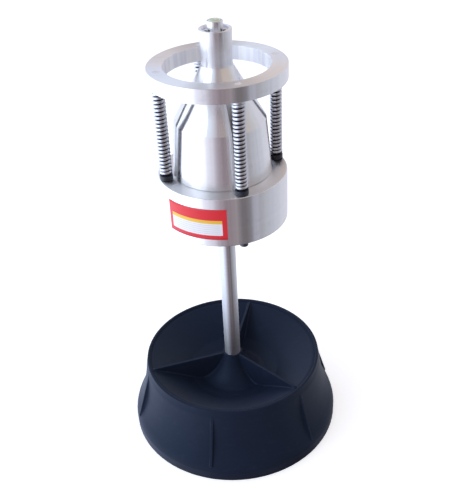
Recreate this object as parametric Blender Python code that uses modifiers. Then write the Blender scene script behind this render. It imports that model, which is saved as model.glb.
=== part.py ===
"""A bubble wheel balancer: a sprung aluminium head that hangs on a post over a moulded foot.

Metres, +Z up. The origin is on the floor, on the axis of the post. A wheel lies on the support
ring, the ring sinks on four springs, and the cone inside them centres the wheel. The whole head
tilts and turns on a ball at the top of the post, under a round bubble vial.
"""
import math

import bmesh
import bpy
from mathutils import Matrix

# Clearances and small distances
FIT = 0.0003
OVERRUN = 0.004
WELD = 0.00001

# Base moulding
FOOT_RADIUS = 0.127
RIM_RADIUS = 0.106
BASE_HEIGHT = 0.090
BASE_WALL = 0.003
FOOT_BAND_HEIGHT = 0.009
RIM_BAND_HEIGHT = 0.006
RIM_WIDTH = 0.0026
RIM_EDGE = 0.0009
TROUGH_RADIUS = 0.034
TROUGH_HEIGHT = 0.059
BOSS_TOP_RADIUS = 0.0112
BOSS_FOOT_RADIUS = 0.0225
BOSS_FOOT_RISE = 0.005
BOSS_TUBE_RADIUS = 0.016
BOSS_BOTTOM = 0.024
BOSS_FLOOR = 0.006
RIB_COUNT = 3
RIB_THICKNESS = 0.003
RIB_DROP = 0.0005
RIB_AZIMUTH = math.radians(-45)
GUSSET_COUNT = 6
GUSSET_THICKNESS = 0.003
GUSSET_DROP = 0.0004
GUSSET_INSET = 0.001
GUSSET_AZIMUTH = math.radians(-45)
# Share of the height above the foot band
GUSSET_FOOT_SHARE = 0.147
# Share of the way in from foot to rim, and share of the height above the foot band
SKIRT_SHARES = ((0.095, 0.13), (0.34, 0.27), (0.53, 0.41), (0.67, 0.54), (0.84, 0.79))
# Share of the way out from trough to rim, and share of the climb
DISH_SHARES = ((0.2, 0.13), (0.63, 0.62))

# Post and its bolt
POST_RADIUS = 0.0095
POST_TIP_RADIUS = 0.0075
POST_TIP_LENGTH = 0.008
POST_CHAMFER = 0.001
BOLT_RADIUS = 0.0048
BOLT_REACH = 0.020
BOLT_HEAD_HEIGHT = 0.0064
BOLT_HEAD_FLATS = 0.017
WASHER_RADIUS = 0.0105
WASHER_THICKNESS = 0.002

# Ball pivot at the top of the post
PIVOT_HEIGHT = 0.470
BALL_RADIUS = 0.005
PIVOT_CUP_RADIUS = 0.006
PIVOT_CUP_DROP = 0.002
PIVOT_CUP_FLOOR = 0.0017
SEAT_CUP_RISE = 0.0015
PIVOT_SEAT_RADIUS = 0.008
PIVOT_SEAT_CHAMFER = 0.0006

# Flange block
BLOCK_RADIUS = 0.0685
BLOCK_THICKNESS = 0.055
BLOCK_CHAMFER = 0.0012

# Hub cone
HUB_FOOT_RADIUS = 0.0525
SHOULDER_RADIUS = 0.0475
SHOULDER_RISE = 0.057
CONE_RISE = 0.057
NECK_RADIUS = 0.0156
NECK_LENGTH = 0.0345
NECK_ABOVE_PIVOT = 0.0215
NECK_CHAMFER = 0.0006
SPIGOT_RADIUS = 0.0297
SPIGOT_LENGTH = 0.010
NECK_BORE_RADIUS = 0.012
NECK_BORE_ABOVE_PIVOT = 0.006
NECK_BORE_STRAIGHT = 0.036
BLOCK_BORE_RADIUS = 0.022
RECESS_RADIUS = 0.013
RECESS_DEPTH = 0.0075
SLOT_WIDTH = 0.005
SLOT_FLOOR_RADIUS = 0.030
SLOT_CHAMFER = 0.0018

# Springs, their collars and guide rods
SPRING_COUNT = 4
SPRING_AZIMUTH = math.radians(-73)
SPRING_CIRCLE_RADIUS = 0.0612
SPRING_RADIUS = 0.00665
WIRE_RADIUS = 0.001
SPRING_TURNS = 22
CLOSED_PITCH = 0.0023
ROD_RADIUS = 0.0035
ROD_CHAMFER = 0.0004
ROD_HEAD_RADIUS = 0.0045
ROD_HEAD_HEIGHT = 0.005
COLLAR_RADIUS = 0.0068
COLLAR_HEIGHT = 0.005

# Support ring
RING_RADIUS = 0.070
RING_BORE_RADIUS = 0.0535
RING_ABOVE_BLOCK = 0.0995
RING_THICKNESS = 0.015
RING_CHAMFER = 0.0005

# Screws from the block into the cone
HUB_SCREW_COUNT = 4
HUB_SCREW_CIRCLE_RADIUS = 0.041
HUB_SCREW_AZIMUTH = math.radians(-28)
HUB_SCREW_RADIUS = 0.003
HUB_SCREW_HEAD_RADIUS = 0.005
HUB_SCREW_HEAD_HEIGHT = 0.006
HUB_SCREW_REACH = 0.013
HUB_SCREW_SUNK = 0.0005
HEX_SOCKET_RADIUS = 0.0029
HEX_SOCKET_DEPTH = 0.003

# Vial, its holder and the levelling screws
HOLDER_RISE = 0.0075
STUB_RADIUS = 0.008
HOLDER_FLANGE = 0.0048
CUP_FLOOR = 0.0015
VIAL_RADIUS = 0.0063
VIAL_EDGE = 0.0006
VIAL_DOME = 0.0003
VIAL_CROWN_SHARE = 0.75
LEVEL_SCREW_COUNT = 3
LEVEL_SCREW_AZIMUTH = math.radians(-30)
LEVEL_SCREW_CIRCLE_RADIUS = 0.0104
LEVEL_SCREW_RADIUS = 0.001
LEVEL_SCREW_HEAD_RADIUS = 0.0019
LEVEL_SCREW_HEAD_HEIGHT = 0.0014
LEVEL_SCREW_REACH = 0.006

# Sides of the turned pieces
LARGE_SIDES = 48
MIDDLE_SIDES = 24
SMALL_SIDES = 12
COIL_SIDES = 7
ARC_POINTS = 4
EDGE_ANGLE = math.radians(35)

# Heights that follow from the sizes above; the head is laid out from the pivot
NECK_TOP = PIVOT_HEIGHT + NECK_ABOVE_PIVOT
CONE_TOP = NECK_TOP - NECK_LENGTH
SHOULDER_HEIGHT = CONE_TOP - CONE_RISE
BLOCK_TOP = SHOULDER_HEIGHT - SHOULDER_RISE
BLOCK_BOTTOM = BLOCK_TOP - BLOCK_THICKNESS
HUB_BOTTOM = BLOCK_TOP + FIT
SPIGOT_BOTTOM = BLOCK_TOP - SPIGOT_LENGTH
NECK_BORE_TOP = PIVOT_HEIGHT + NECK_BORE_ABOVE_PIVOT
BORE_TAPER_TOP = NECK_BORE_TOP - NECK_BORE_STRAIGHT
RECESS_FLOOR = NECK_TOP - RECESS_DEPTH
RING_BOTTOM = BLOCK_TOP + RING_ABOVE_BLOCK
RING_TOP = RING_BOTTOM + RING_THICKNESS
COLLAR_TOP = BLOCK_TOP + FIT + COLLAR_HEIGHT
SOCKET_FLOOR = BOSS_BOTTOM + BOSS_FLOOR
POST_BOTTOM = SOCKET_FLOOR + FIT
POST_TOP = PIVOT_HEIGHT - PIVOT_CUP_DROP
PIVOT_CUP_BOTTOM = PIVOT_HEIGHT - BALL_RADIUS - FIT - PIVOT_CUP_FLOOR
ROD_HOLE_RADIUS = ROD_RADIUS + FIT
HUB_SCREW_HOLE_RADIUS = HUB_SCREW_RADIUS + FIT
LEVEL_HOLE_RADIUS = LEVEL_SCREW_RADIUS + FIT
FLANGE_BOTTOM = RECESS_FLOOR + FIT
FLANGE_TOP = FLANGE_BOTTOM + HOLDER_FLANGE
HOLDER_TOP = NECK_TOP + HOLDER_RISE


def new_collection(name):
    """Adds a collection to the scene."""
    collection = bpy.data.collections.new(name)
    bpy.context.scene.collection.children.link(collection)
    return collection


def clear_scene():
    """Removes every object of the scene."""
    for item in list(bpy.data.objects):
        bpy.data.objects.remove(item, do_unlink=True)


clear_scene()
PARTS = new_collection("Bubble wheel balancer")
CUTTERS = new_collection("Cutters")


def finish(name, colour, roughness, metallic):
    """Makes a plain material with one colour."""
    material = bpy.data.materials.new(name)
    material.use_nodes = True
    shader = material.node_tree.nodes["Principled BSDF"]
    shader.inputs["Base Color"].default_value = (*colour, 1)
    shader.inputs["Roughness"].default_value = roughness
    shader.inputs["Metallic"].default_value = metallic
    material.diffuse_color = (*colour, 1)
    return material


def carrier(name, height):
    """Adds an empty on the axis, at a joint's height."""
    empty = bpy.data.objects.new(name, None)
    empty.location = (0, 0, height)
    PARTS.objects.link(empty)
    return empty


def hang(piece, empty, material):
    """Hangs a finished piece on its carrier, in place, and gives it its material."""
    piece.data.materials.clear()
    piece.data.materials.append(material)
    piece.parent = empty
    piece.matrix_parent_inverse = Matrix.Translation(-empty.location)


def turned(name, outline, sides, hollow=False):
    """Turns (radius, height) points about Z; they run down the outer side, and back up a bore."""
    edges = [(i, i + 1) for i in range(len(outline) - 1)]
    if hollow:
        edges.append((len(outline) - 1, 0))
    mesh = bpy.data.meshes.new(name)
    mesh.from_pydata([(radius, 0, height) for radius, height in outline], edges, [])
    piece = bpy.data.objects.new(name, mesh)
    PARTS.objects.link(piece)
    screw = piece.modifiers.new("turn", "SCREW")
    screw.steps = sides
    screw.render_steps = sides
    screw.use_merge_vertices = True
    screw.merge_threshold = WELD
    screw.use_smooth_shade = True
    return piece


def welded(piece):
    """Turns a curve or a piece with modifiers into a plain mesh, smooth but for its edges."""
    graph = bpy.context.evaluated_depsgraph_get()
    mesh = bpy.data.meshes.new_from_object(piece.evaluated_get(graph))
    shape = bmesh.new()
    shape.from_mesh(mesh)
    bmesh.ops.remove_doubles(shape, verts=shape.verts, dist=WELD)
    shape.to_mesh(mesh)
    shape.free()
    mesh.shade_smooth()
    mesh.set_sharp_from_angle(angle=EDGE_ANGLE)
    name = piece.name
    place = piece.matrix_world.copy()
    bpy.data.objects.remove(piece)
    solid = bpy.data.objects.new(name, mesh)
    solid.matrix_world = place
    PARTS.objects.link(solid)
    return solid


def plate(name, outline, thickness):
    """Makes a flat plate from a closed outline in its own XY plane."""
    curve = bpy.data.curves.new(name, "CURVE")
    curve.dimensions = "2D"
    curve.fill_mode = "BOTH"
    curve.extrude = thickness / 2
    spline = curve.splines.new("POLY")
    spline.points.add(len(outline) - 1)
    for point, (x, y) in zip(spline.points, outline):
        point.co = (x, y, 0, 1)
    spline.use_cyclic_u = True
    piece = bpy.data.objects.new(name, curve)
    PARTS.objects.link(piece)
    return welded(piece)


def rod(name, radius, bottom, top, sides):
    """Makes a plain round or six-sided bar along Z."""
    mesh = bpy.data.meshes.new(name)
    shape = bmesh.new()
    bmesh.ops.create_cone(shape, cap_ends=True, segments=sides, radius1=radius, radius2=radius,
                          depth=top - bottom, matrix=Matrix.Translation((0, 0, (top + bottom) / 2)))
    shape.to_mesh(mesh)
    shape.free()
    piece = bpy.data.objects.new(name, mesh)
    PARTS.objects.link(piece)
    return piece


def combine(piece, tool, operation):
    """Cuts a tool out of a piece, or joins it on, and puts the tool with the cutters."""
    change = piece.modifiers.new(tool.name, "BOOLEAN")
    change.operation = operation
    change.solver = "EXACT"
    change.object = tool
    PARTS.objects.unlink(tool)
    CUTTERS.objects.link(tool)
    tool.hide_render = True
    tool.display_type = "WIRE"


def around(azimuth, circle=0.0):
    """Gives the place of a piece that stands on a circle about the axis."""
    return Matrix.Rotation(azimuth, 4, "Z") @ Matrix.Translation((circle, 0, 0))


def azimuths(first, count):
    """Lists evenly spaced directions."""
    return [first + i * math.tau / count for i in range(count)]


def repeat(piece, name, first, count, circle):
    """Places a piece and its copies evenly on a circle, numbered from one."""
    pieces = [piece] + [piece.copy() for _ in range(count - 1)]
    for number, (item, azimuth) in enumerate(zip(pieces, azimuths(first, count)), 1):
        item.name = f"{name}_{number}"
        item.matrix_world = around(azimuth, circle)
        if number > 1:
            PARTS.objects.link(item)
    return pieces


def drill(piece, name, radius, bottom, top, first, count, circle):
    """Drills evenly spaced round holes along Z."""
    hole = rod(name, radius, bottom, top, SMALL_SIDES)
    for tool in repeat(hole, name, first, count, circle):
        combine(piece, tool, "DIFFERENCE")


def arc(radius, height, start, end):
    """Lists points of an arc about a centre on the axis; angles are from level, upwards."""
    angles = [start + (end - start) * i / ARC_POINTS for i in range(ARC_POINTS + 1)]
    return [(radius * math.cos(angle), height + radius * math.sin(angle)) for angle in angles]


def between(low, high, share):
    """Gives the value at a share of the way."""
    return low + (high - low) * share


def skirt_outline():
    """Lists the outer side of the skirt, from under the rim down to the foot."""
    rim = BASE_HEIGHT - RIM_BAND_HEIGHT
    points = [(RIM_RADIUS + RIM_EDGE, rim)]
    for inward, rise in reversed(SKIRT_SHARES):
        radius = between(FOOT_RADIUS, RIM_RADIUS, inward)
        points.append((radius, between(FOOT_BAND_HEIGHT, rim, rise)))
    return points + [(FOOT_RADIUS, FOOT_BAND_HEIGHT), (FOOT_RADIUS, 0)]


def dish_outline():
    """Lists the dish, from its trough round the boss out to the rim."""
    inner = RIM_RADIUS - RIM_WIDTH
    edge = BASE_HEIGHT - RIM_EDGE
    points = [(TROUGH_RADIUS, TROUGH_HEIGHT)]
    for outward, rise in DISH_SHARES:
        points.append((between(TROUGH_RADIUS, inner, outward), between(TROUGH_HEIGHT, edge, rise)))
    return points + [(inner - RIM_EDGE, edge)]


def base_shell():
    """Turns the moulding: skirt, rim, dish and the boss with the socket for the post."""
    skirt = skirt_outline()
    dish = dish_outline()
    bore = POST_RADIUS + FIT
    inner = RIM_RADIUS - RIM_WIDTH
    outline = [(RIM_RADIUS - RIM_EDGE, BASE_HEIGHT), (RIM_RADIUS, BASE_HEIGHT - RIM_EDGE)]
    outline += skirt
    outline += [(radius - BASE_WALL, height) for radius, height in reversed(skirt)]
    outline += [(radius, height - BASE_WALL) for radius, height in reversed(dish[:-1])]
    outline.append((BOSS_TUBE_RADIUS, TROUGH_HEIGHT - BASE_WALL))
    outline.append((BOSS_TUBE_RADIUS, BOSS_BOTTOM))
    outline.append((BOLT_RADIUS + FIT, BOSS_BOTTOM))
    outline.append((BOLT_RADIUS + FIT, SOCKET_FLOOR))
    outline.append((bore, SOCKET_FLOOR))
    outline.append((bore, BASE_HEIGHT))
    outline.append((BOSS_TOP_RADIUS, BASE_HEIGHT))
    outline.append((BOSS_FOOT_RADIUS, TROUGH_HEIGHT + BOSS_FOOT_RISE))
    outline += dish
    outline.append((inner, BASE_HEIGHT))
    return turned("base", outline, LARGE_SIDES, hollow=True)


def base_rib():
    """Makes an inner rib: level on top, its lower edge sunk in the wall of the dish."""
    top = BASE_HEIGHT - RIB_DROP
    inside = between(POST_RADIUS + FIT, BOSS_TOP_RADIUS, 0.5)
    sunk = BASE_WALL / 2
    outline = [(RIM_RADIUS - RIM_WIDTH, top), (inside, top), (inside, TROUGH_HEIGHT - sunk)]
    outline += [(radius, height - sunk) for radius, height in dish_outline()[:-1]]
    return plate("rib", outline, RIB_THICKNESS)


def base_gusset():
    """Makes an outer gusset: a straight edge from rim to foot over the hollow of the skirt."""
    skirt = skirt_outline()[:-2]
    top = skirt[0][1] - GUSSET_DROP
    foot = between(FOOT_BAND_HEIGHT, skirt[0][1], GUSSET_FOOT_SHARE)
    outline = [(skirt[0][0], top), (FOOT_RADIUS - GUSSET_INSET, foot)]
    outline += [(radius - BASE_WALL / 2, height) for radius, height in reversed(skirt[1:])]
    outline.append((skirt[0][0] - BASE_WALL / 2, top))
    return plate("gusset", outline, GUSSET_THICKNESS)


def make_base():
    """Builds the moulding with its ribs and gussets."""
    base = base_shell()
    upright = Matrix.Rotation(math.radians(90), 4, "X")
    for tool in repeat(base_rib(), "rib", RIB_AZIMUTH, RIB_COUNT, 0):
        tool.matrix_world = tool.matrix_world @ upright
        combine(base, tool, "UNION")
    for tool in repeat(base_gusset(), "gusset", GUSSET_AZIMUTH, GUSSET_COUNT, 0):
        tool.matrix_world = tool.matrix_world @ upright
        combine(base, tool, "UNION")
    return welded(base)


def make_post():
    """Turns the post, with a pocket for the pivot's cup on top and a tapped hole below."""
    pocket = PIVOT_CUP_RADIUS + FIT
    outline = [(0, PIVOT_CUP_BOTTOM - FIT), (pocket, PIVOT_CUP_BOTTOM - FIT), (pocket, POST_TOP)]
    outline.append((POST_TIP_RADIUS, POST_TOP))
    outline.append((POST_RADIUS, POST_TOP - POST_TIP_LENGTH))
    outline.append((POST_RADIUS, POST_BOTTOM + POST_CHAMFER))
    outline.append((POST_RADIUS - POST_CHAMFER, POST_BOTTOM))
    outline.append((BOLT_RADIUS + FIT, POST_BOTTOM))
    outline.append((BOLT_RADIUS + FIT, POST_BOTTOM + BOLT_REACH + FIT))
    outline.append((0, POST_BOTTOM + BOLT_REACH + FIT))
    return welded(turned("post", outline, MIDDLE_SIDES))


def make_post_washer():
    """Turns the washer under the boss."""
    top = BOSS_BOTTOM - FIT
    bottom = top - WASHER_THICKNESS
    bore = BOLT_RADIUS + FIT
    outline = [(WASHER_RADIUS, top), (WASHER_RADIUS, bottom), (bore, bottom), (bore, top)]
    return welded(turned("post_washer", outline, MIDDLE_SIDES, hollow=True))


def make_post_bolt():
    """Makes the hexagon bolt that pulls the post into the boss."""
    under = BOSS_BOTTOM - WASHER_THICKNESS - 2 * FIT
    outline = [(0, POST_BOTTOM + BOLT_REACH), (BOLT_RADIUS, POST_BOTTOM + BOLT_REACH)]
    outline += [(BOLT_RADIUS, under - BOLT_HEAD_HEIGHT / 2), (0, under - BOLT_HEAD_HEIGHT / 2)]
    bolt = turned("post_bolt", outline, SMALL_SIDES)
    corner = BOLT_HEAD_FLATS / 2 / math.cos(math.radians(30))
    head = rod("bolt_head", corner, under - BOLT_HEAD_HEIGHT, under, 6)
    combine(bolt, head, "UNION")
    return welded(bolt)


def make_pivot_cup():
    """Turns the hardened cup in the top of the post that the ball lies in."""
    cup = BALL_RADIUS + FIT
    lip = -math.asin(PIVOT_CUP_DROP / cup)
    outline = arc(cup, PIVOT_HEIGHT, math.radians(-90), lip)
    outline[0] = (0, PIVOT_HEIGHT - cup)
    outline += [(PIVOT_CUP_RADIUS, POST_TOP), (PIVOT_CUP_RADIUS, PIVOT_CUP_BOTTOM)]
    outline.append((0, PIVOT_CUP_BOTTOM))
    return welded(turned("pivot_cup", outline, MIDDLE_SIDES))


def make_pivot_ball():
    """Makes the steel ball that carries the head."""
    mesh = bpy.data.meshes.new("pivot_ball")
    shape = bmesh.new()
    bmesh.ops.create_uvsphere(shape, u_segments=SMALL_SIDES, v_segments=SMALL_SIDES // 2,
                              radius=BALL_RADIUS, matrix=Matrix.Translation((0, 0, PIVOT_HEIGHT)))
    shape.to_mesh(mesh)
    shape.free()
    ball = bpy.data.objects.new("pivot_ball", mesh)
    PARTS.objects.link(ball)
    return welded(ball)


def make_pivot_seat():
    """Turns the hardened cup in the neck that rests on the ball."""
    cup = BALL_RADIUS + FIT
    lip = math.asin(SEAT_CUP_RISE / cup)
    top = RECESS_FLOOR
    outline = [(0, top), (PIVOT_SEAT_RADIUS - PIVOT_SEAT_CHAMFER, top)]
    outline.append((PIVOT_SEAT_RADIUS, top - PIVOT_SEAT_CHAMFER))
    outline.append((PIVOT_SEAT_RADIUS, PIVOT_HEIGHT + SEAT_CUP_RISE))
    outline += arc(cup, PIVOT_HEIGHT, lip, math.radians(90))
    outline[-1] = (0, PIVOT_HEIGHT + cup)
    return welded(turned("pivot_seat", outline, MIDDLE_SIDES))


def bore_radius(height):
    """Gives the radius of the tapered bore, which opens downwards to let the head tilt."""
    share = (BORE_TAPER_TOP - height) / (BORE_TAPER_TOP - BLOCK_BOTTOM)
    return between(NECK_BORE_RADIUS, BLOCK_BORE_RADIUS, share)


def surface_cutter(low, high):
    """Makes a cutter along a straight side of the hub, to chamfer a slot's edges."""
    lean = math.atan2(low[0] - high[0], high[1] - low[1])
    run = math.hypot(low[0] - high[0], high[1] - low[1]) + OVERRUN
    half = SLOT_WIDTH / 2
    spread = half + SLOT_CHAMFER + OVERRUN
    outline = [(-SLOT_CHAMFER, -half), (OVERRUN, -spread), (OVERRUN, spread), (-SLOT_CHAMFER, half)]
    tool = plate("slot_chamfer", outline, run)
    tilted = Matrix.Translation((high[0], 0, high[1])) @ Matrix.Rotation(-lean, 4, "Y")
    return tool, tilted @ Matrix.Translation((0, 0, -run / 2))


def cut_slots(hub):
    """Mills the four slots behind the springs and chamfers their edges."""
    foot = (HUB_FOOT_RADIUS, BLOCK_TOP)
    shoulder = (SHOULDER_RADIUS, SHOULDER_HEIGHT)
    lean = math.atan2(SHOULDER_RADIUS - NECK_RADIUS, CONE_RISE)
    end = SLOT_FLOOR_RADIUS + SLOT_CHAMFER / math.cos(lean)
    slot_end = (end, CONE_TOP - (end - NECK_RADIUS) / math.tan(lean))
    reach = HUB_FOOT_RADIUS + OVERRUN
    outline = [(SLOT_FLOOR_RADIUS, BLOCK_TOP - OVERRUN), (reach, BLOCK_TOP - OVERRUN)]
    outline += [(reach, CONE_TOP), (SLOT_FLOOR_RADIUS, CONE_TOP)]
    slot = plate("slot", outline, SLOT_WIDTH)
    upright = Matrix.Rotation(math.radians(90), 4, "X")
    for tool in repeat(slot, "slot", SPRING_AZIMUTH, SPRING_COUNT, 0):
        tool.matrix_world = tool.matrix_world @ upright
        combine(hub, tool, "DIFFERENCE")
    for name, low, high in (("foot_chamfer", foot, shoulder), ("cone_chamfer", shoulder, slot_end)):
        chamfer, place = surface_cutter(low, high)
        for tool in repeat(chamfer, name, SPRING_AZIMUTH, SPRING_COUNT, 0):
            tool.matrix_world = tool.matrix_world @ place
            combine(hub, tool, "DIFFERENCE")


def make_hub():
    """Turns the cone with its neck and spigot, then mills and drills it."""
    outline = [(NECK_RADIUS - NECK_CHAMFER, NECK_TOP), (NECK_RADIUS, NECK_TOP - NECK_CHAMFER)]
    outline.append((NECK_RADIUS, CONE_TOP))
    outline.append((SHOULDER_RADIUS, SHOULDER_HEIGHT))
    outline.append((HUB_FOOT_RADIUS, HUB_BOTTOM))
    outline.append((SPIGOT_RADIUS, HUB_BOTTOM))
    outline.append((SPIGOT_RADIUS, SPIGOT_BOTTOM))
    outline.append((bore_radius(SPIGOT_BOTTOM), SPIGOT_BOTTOM))
    outline.append((NECK_BORE_RADIUS, BORE_TAPER_TOP))
    outline.append((NECK_BORE_RADIUS, NECK_BORE_TOP))
    outline.append((PIVOT_SEAT_RADIUS + FIT, NECK_BORE_TOP))
    outline.append((PIVOT_SEAT_RADIUS + FIT, RECESS_FLOOR))
    outline.append((RECESS_RADIUS, RECESS_FLOOR))
    outline.append((RECESS_RADIUS, NECK_TOP))
    hub = turned("hub_cone", outline, LARGE_SIDES, hollow=True)
    cut_slots(hub)
    drill(hub, "hub_tapping", HUB_SCREW_HOLE_RADIUS, HUB_BOTTOM - OVERRUN,
          BLOCK_TOP + HUB_SCREW_REACH + FIT, HUB_SCREW_AZIMUTH, HUB_SCREW_COUNT, HUB_SCREW_CIRCLE_RADIUS)
    drill(hub, "level_tapping", LEVEL_HOLE_RADIUS, RECESS_FLOOR - LEVEL_SCREW_REACH - FIT,
          RECESS_FLOOR + FIT, LEVEL_SCREW_AZIMUTH, LEVEL_SCREW_COUNT, LEVEL_SCREW_CIRCLE_RADIUS)
    return welded(hub)


def make_block():
    """Turns the flange block, with holes for the guide rods and the counterbored screws."""
    pocket = SPIGOT_BOTTOM - FIT
    outline = [(BLOCK_RADIUS - BLOCK_CHAMFER, BLOCK_TOP), (BLOCK_RADIUS, BLOCK_TOP - BLOCK_CHAMFER)]
    outline.append((BLOCK_RADIUS, BLOCK_BOTTOM + BLOCK_CHAMFER))
    outline.append((BLOCK_RADIUS - BLOCK_CHAMFER, BLOCK_BOTTOM))
    outline.append((BLOCK_BORE_RADIUS, BLOCK_BOTTOM))
    outline.append((bore_radius(pocket), pocket))
    outline.append((SPIGOT_RADIUS + FIT, pocket))
    outline.append((SPIGOT_RADIUS + FIT, BLOCK_TOP))
    block = turned("flange_block", outline, LARGE_SIDES, hollow=True)
    drill(block, "rod_hole", ROD_HOLE_RADIUS, BLOCK_BOTTOM - OVERRUN, BLOCK_TOP + OVERRUN,
          SPRING_AZIMUTH, SPRING_COUNT, SPRING_CIRCLE_RADIUS)
    drill(block, "screw_hole", HUB_SCREW_HOLE_RADIUS, BLOCK_BOTTOM - OVERRUN, BLOCK_TOP + OVERRUN,
          HUB_SCREW_AZIMUTH, HUB_SCREW_COUNT, HUB_SCREW_CIRCLE_RADIUS)
    counterbore = BLOCK_BOTTOM + HUB_SCREW_SUNK + HUB_SCREW_HEAD_HEIGHT + FIT
    drill(block, "counterbore", HUB_SCREW_HEAD_RADIUS + FIT, BLOCK_BOTTOM - OVERRUN, counterbore,
          HUB_SCREW_AZIMUTH, HUB_SCREW_COUNT, HUB_SCREW_CIRCLE_RADIUS)
    return welded(block)


def make_hub_screws():
    """Turns the socket screws that hold block and cone together."""
    under = BLOCK_BOTTOM + HUB_SCREW_SUNK
    shoulder = under + HUB_SCREW_HEAD_HEIGHT
    tip = BLOCK_TOP + HUB_SCREW_REACH
    outline = [(0, tip), (HUB_SCREW_RADIUS, tip), (HUB_SCREW_RADIUS, shoulder)]
    outline += [(HUB_SCREW_HEAD_RADIUS, shoulder), (HUB_SCREW_HEAD_RADIUS, under), (0, under)]
    screw = turned("hub_screw", outline, SMALL_SIDES)
    socket = rod("hex_socket", HEX_SOCKET_RADIUS, under - OVERRUN, under + HEX_SOCKET_DEPTH, 6)
    combine(screw, socket, "DIFFERENCE")
    screw = welded(screw)
    return repeat(screw, "hub_screw", HUB_SCREW_AZIMUTH, HUB_SCREW_COUNT, HUB_SCREW_CIRCLE_RADIUS)


def make_holder():
    """Turns the vial's holder: a stub with a cup, on a flange in the neck's recess."""
    cup = VIAL_RADIUS + FIT
    flange = RECESS_RADIUS - FIT
    outline = [(0, FLANGE_TOP + CUP_FLOOR), (cup, FLANGE_TOP + CUP_FLOOR), (cup, HOLDER_TOP)]
    outline += [(STUB_RADIUS, HOLDER_TOP), (STUB_RADIUS, FLANGE_TOP), (flange, FLANGE_TOP)]
    outline += [(flange, FLANGE_BOTTOM), (0, FLANGE_BOTTOM)]
    holder = turned("vial_holder", outline, MIDDLE_SIDES)
    drill(holder, "level_hole", LEVEL_HOLE_RADIUS, FLANGE_BOTTOM - OVERRUN, FLANGE_TOP + OVERRUN,
          LEVEL_SCREW_AZIMUTH, LEVEL_SCREW_COUNT, LEVEL_SCREW_CIRCLE_RADIUS)
    return welded(holder)


def make_vial():
    """Turns the round glass vial, with a slightly domed top."""
    edge = HOLDER_TOP - VIAL_DOME
    bottom = FLANGE_TOP + CUP_FLOOR + FIT
    outline = [(0, HOLDER_TOP), (VIAL_RADIUS / 2, between(edge, HOLDER_TOP, VIAL_CROWN_SHARE))]
    outline += [(VIAL_RADIUS - VIAL_EDGE, edge), (VIAL_RADIUS, edge - VIAL_EDGE)]
    outline += [(VIAL_RADIUS, bottom), (0, bottom)]
    return welded(turned("vial", outline, MIDDLE_SIDES))


def make_level_screws():
    """Turns the levelling screws of the vial's holder."""
    under = FLANGE_TOP + FIT
    top = under + LEVEL_SCREW_HEAD_HEIGHT
    tip = RECESS_FLOOR - LEVEL_SCREW_REACH
    outline = [(0, top), (LEVEL_SCREW_HEAD_RADIUS, top), (LEVEL_SCREW_HEAD_RADIUS, under)]
    outline += [(LEVEL_SCREW_RADIUS, under), (LEVEL_SCREW_RADIUS, tip), (0, tip)]
    screw = welded(turned("level_screw", outline, SMALL_SIDES))
    return repeat(screw, "level_screw", LEVEL_SCREW_AZIMUTH, LEVEL_SCREW_COUNT,
                  LEVEL_SCREW_CIRCLE_RADIUS)


def make_ring():
    """Turns the support ring and drills it for the guide rods."""
    outline = [(RING_RADIUS - RING_CHAMFER, RING_TOP), (RING_RADIUS, RING_TOP - RING_CHAMFER)]
    outline += [(RING_RADIUS, RING_BOTTOM), (RING_BORE_RADIUS, RING_BOTTOM)]
    outline.append((RING_BORE_RADIUS, RING_TOP - RING_CHAMFER))
    outline.append((RING_BORE_RADIUS + RING_CHAMFER, RING_TOP))
    ring = turned("support_ring", outline, LARGE_SIDES, hollow=True)
    drill(ring, "ring_hole", ROD_HOLE_RADIUS, RING_BOTTOM - OVERRUN, RING_TOP + OVERRUN,
          SPRING_AZIMUTH, SPRING_COUNT, SPRING_CIRCLE_RADIUS)
    return welded(ring)


def make_rods():
    """Turns the guide rods, each with a head under the block and its top flush in the ring."""
    top = RING_TOP - FIT
    head = BLOCK_BOTTOM - FIT
    foot = head - ROD_HEAD_HEIGHT
    outline = [(0, top), (ROD_RADIUS - ROD_CHAMFER, top), (ROD_RADIUS, top - ROD_CHAMFER)]
    outline += [(ROD_RADIUS, head), (ROD_HEAD_RADIUS, head), (ROD_HEAD_RADIUS, foot + ROD_CHAMFER)]
    outline += [(ROD_HEAD_RADIUS - ROD_CHAMFER, foot), (0, foot)]
    piece = welded(turned("guide_rod", outline, SMALL_SIDES))
    return repeat(piece, "guide_rod", SPRING_AZIMUTH, SPRING_COUNT, SPRING_CIRCLE_RADIUS)


def make_collars():
    """Turns the black collars that the springs stand on."""
    bottom = BLOCK_TOP + FIT
    outline = [(COLLAR_RADIUS, COLLAR_TOP), (COLLAR_RADIUS, bottom)]
    outline += [(ROD_HOLE_RADIUS, bottom), (ROD_HOLE_RADIUS, COLLAR_TOP)]
    collar = welded(turned("spring_seat", outline, SMALL_SIDES, hollow=True))
    return repeat(collar, "spring_seat", SPRING_AZIMUTH, SPRING_COUNT, SPRING_CIRCLE_RADIUS)


def coil_height(turn):
    """Gives the height of the wire after so many turns; the first and last turn lie closed."""
    low = COLLAR_TOP + FIT + WIRE_RADIUS
    high = RING_BOTTOM - FIT - WIRE_RADIUS
    pitch = (high - low - 2 * CLOSED_PITCH) / (SPRING_TURNS - 2)
    open_turns = min(max(turn - 1, 0), SPRING_TURNS - 2)
    return low + open_turns * pitch + (turn - open_turns) * CLOSED_PITCH


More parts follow.
